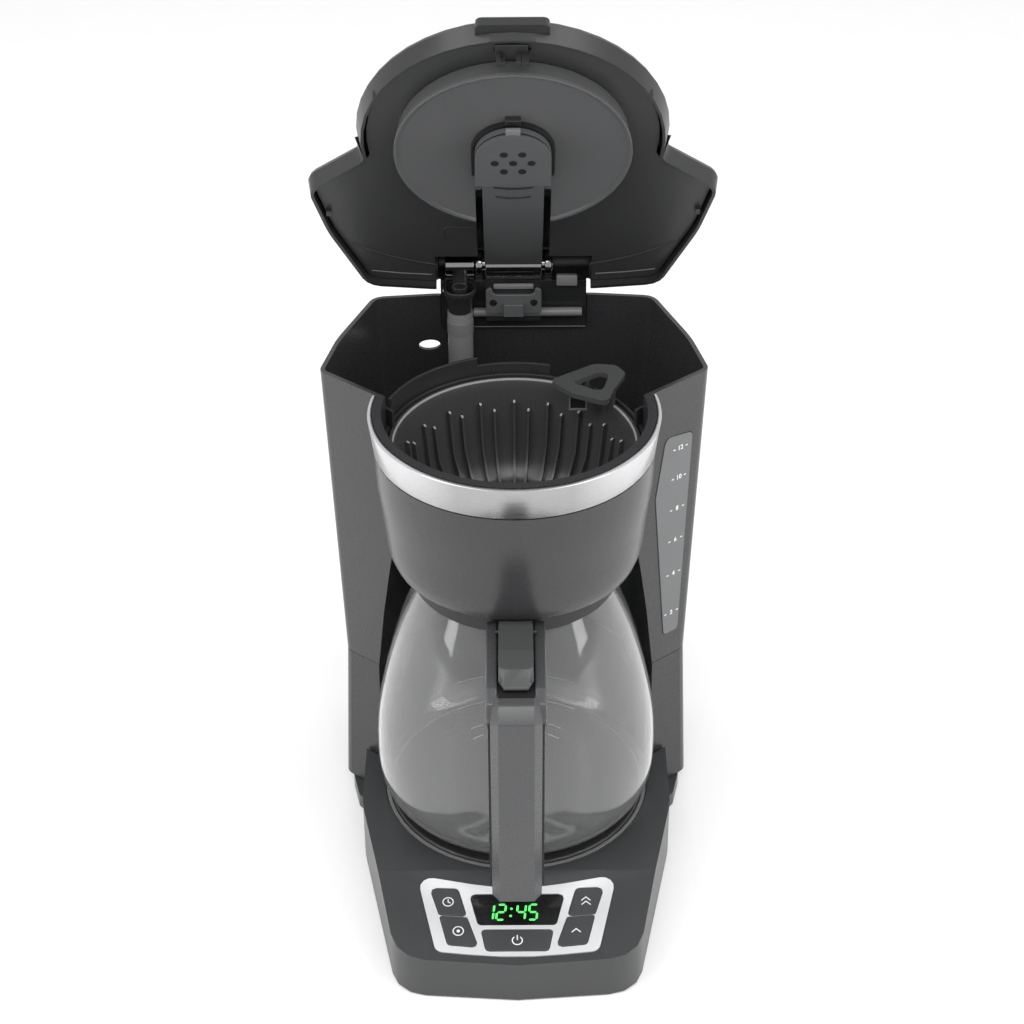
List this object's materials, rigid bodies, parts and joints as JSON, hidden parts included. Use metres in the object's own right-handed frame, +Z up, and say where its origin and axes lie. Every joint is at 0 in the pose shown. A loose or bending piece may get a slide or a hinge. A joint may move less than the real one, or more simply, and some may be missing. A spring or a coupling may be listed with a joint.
{
  "type": "drip coffee maker",
  "caption": "Drip coffee maker with a flip-up lid over its water tank, a lift-out filter basket, a glass carafe on a warming plate, and a sloping panel with a clock display and buttons.",
  "frame": {"origin": "on the surface it stands on, under the centre of the rest pose's box, with the lid open and the carafe home", "axes": "+Z up, the front with its control panel faces -Y, +X to the right seen from the front"},
  "size_m": [0.2086, 0.2674, 0.4767],
  "materials": {
    "casing": "satin moulded plastic",
    "inner_black": "fine matte",
    "silver_trim": "brushed silver",
    "steel": "plain",
    "aluminium": "as cast",
    "rubber": "matte",
    "silicone": "milky, slightly translucent",
    "clear_glass": "clear, polished",
    "smoked_window": "smoked, glossy",
    "display": "glossy black lens",
    "button_grey": "satin",
    "plate_coating": "dark non-stick coating",
    "circuit_board": "laminate"
  },
  "bodies": {
    "root": {"base_housing": "casing", "base_screw_front_left": "steel", "base_screw_front_right": "steel", "base_screw_rear_left": "steel", "base_screw_rear_right": "steel", "bottom_cover": "inner_black", "bracket_screw_left": "steel", "bracket_screw_right": "steel", "brew_chamber": "inner_black", "check_valve": "inner_black", "control_bezel": "silver_trim", "control_board": "circuit_board", "cord_inlet": "rubber", "display_module": "display", "foot_front_left": "rubber", "foot_front_right": "rubber", "foot_rear_left": "rubber", "foot_rear_right": "rubber", "heating_element": "aluminium", "hinge_bracket": "inner_black", "hinge_clip": "silicone", "hinge_rod": "silicone", "hinge_stop": "silicone", "inlet_hose": "silicone", "lower_housing": "casing", "outlet_hose": "silicone", "plate_seal": "silicone", "riser_collar": "inner_black", "riser_tube": "silicone", "swivel_tube": "steel", "thermal_fuse": "silicone", "thermostat": "steel", "trim_band": "silver_trim", "upper_housing": "casing", "warming_plate": "plate_coating", "water_elbow": "inner_black", "water_window": "smoked_window"},
    "lid": {"lid_shell": "casing", "lid_liner": "inner_black", "lid_disc": "inner_black", "lid_latch": "inner_black", "spray_arm": "inner_black", "spray_head": "inner_black"},
    "basket": {"filter_basket": "inner_black", "valve_spring": "steel"},
    "valve": {"drip_valve": "steel", "valve_seal": "silicone"},
    "carafe": {"carafe_glass": "clear_glass", "carafe_collar": "inner_black", "carafe_handle": "casing", "handle_screw": "steel", "carafe_pin": "steel"},
    "carafe_cover": {"carafe_lid": "inner_black"},
    "program_button": {"program_button": "button_grey"},
    "auto_button": {"auto_button": "button_grey"},
    "hour_button": {"hour_button": "button_grey"},
    "minute_button": {"minute_button": "button_grey"},
    "power_button": {"power_button": "button_grey"}
  },
  "joints": [
    {"name": "lid_hinge", "type": "hinge", "parent": "root", "child": "lid", "pos_m": [0, 0.1245, 0.2967], "axis": [1, 0, 0], "range_deg": [0, 63.2]},
    {"name": "basket_lift", "type": "slide", "parent": "root", "child": "basket", "axis": [0, 0, -1], "range_m": [-0.07, 0]},
    {"name": "drip_stop", "type": "slide", "parent": "basket", "child": "valve", "axis": [0, 0, -1], "range_m": [0, 0.004], "deforming": ["valve_spring"]},
    {"name": "carafe_slide", "type": "slide", "parent": "root", "child": "carafe", "axis": [0, -1, 0], "range_m": [0, 0.16]},
    {"name": "carafe_lid_hinge", "type": "hinge", "parent": "carafe", "child": "carafe_cover", "pos_m": [0, -0.0699, 0.193], "axis": [1, 0, 0], "range_deg": [0, 0.8]},
    {"name": "program_button_press", "type": "slide", "parent": "root", "child": "program_button", "axis": [0, 0.1736, -0.9848], "range_m": [0, 0.0008], "stiffness_N_per_m": 1200, "springref_m": -0.0003},
    {"name": "auto_button_press", "type": "slide", "parent": "root", "child": "auto_button", "axis": [0, 0.1736, -0.9848], "range_m": [0, 0.0008], "stiffness_N_per_m": 1200, "springref_m": -0.0003},
    {"name": "hour_button_press", "type": "slide", "parent": "root", "child": "hour_button", "axis": [0, 0.1736, -0.9848], "range_m": [0, 0.0008], "stiffness_N_per_m": 1200, "springref_m": -0.0003},
    {"name": "minute_button_press", "type": "slide", "parent": "root", "child": "minute_button", "axis": [0, 0.1736, -0.9848], "range_m": [0, 0.0008], "stiffness_N_per_m": 1200, "springref_m": -0.0003},
    {"name": "power_button_press", "type": "slide", "parent": "root", "child": "power_button", "axis": [0, 0.1736, -0.9848], "range_m": [0, 0.0008], "stiffness_N_per_m": 1200, "springref_m": -0.0003}
  ],
  "couplings": [
    {"joint": "drip_stop", "follows": "carafe_slide", "ratio": 0.025}
  ]
}
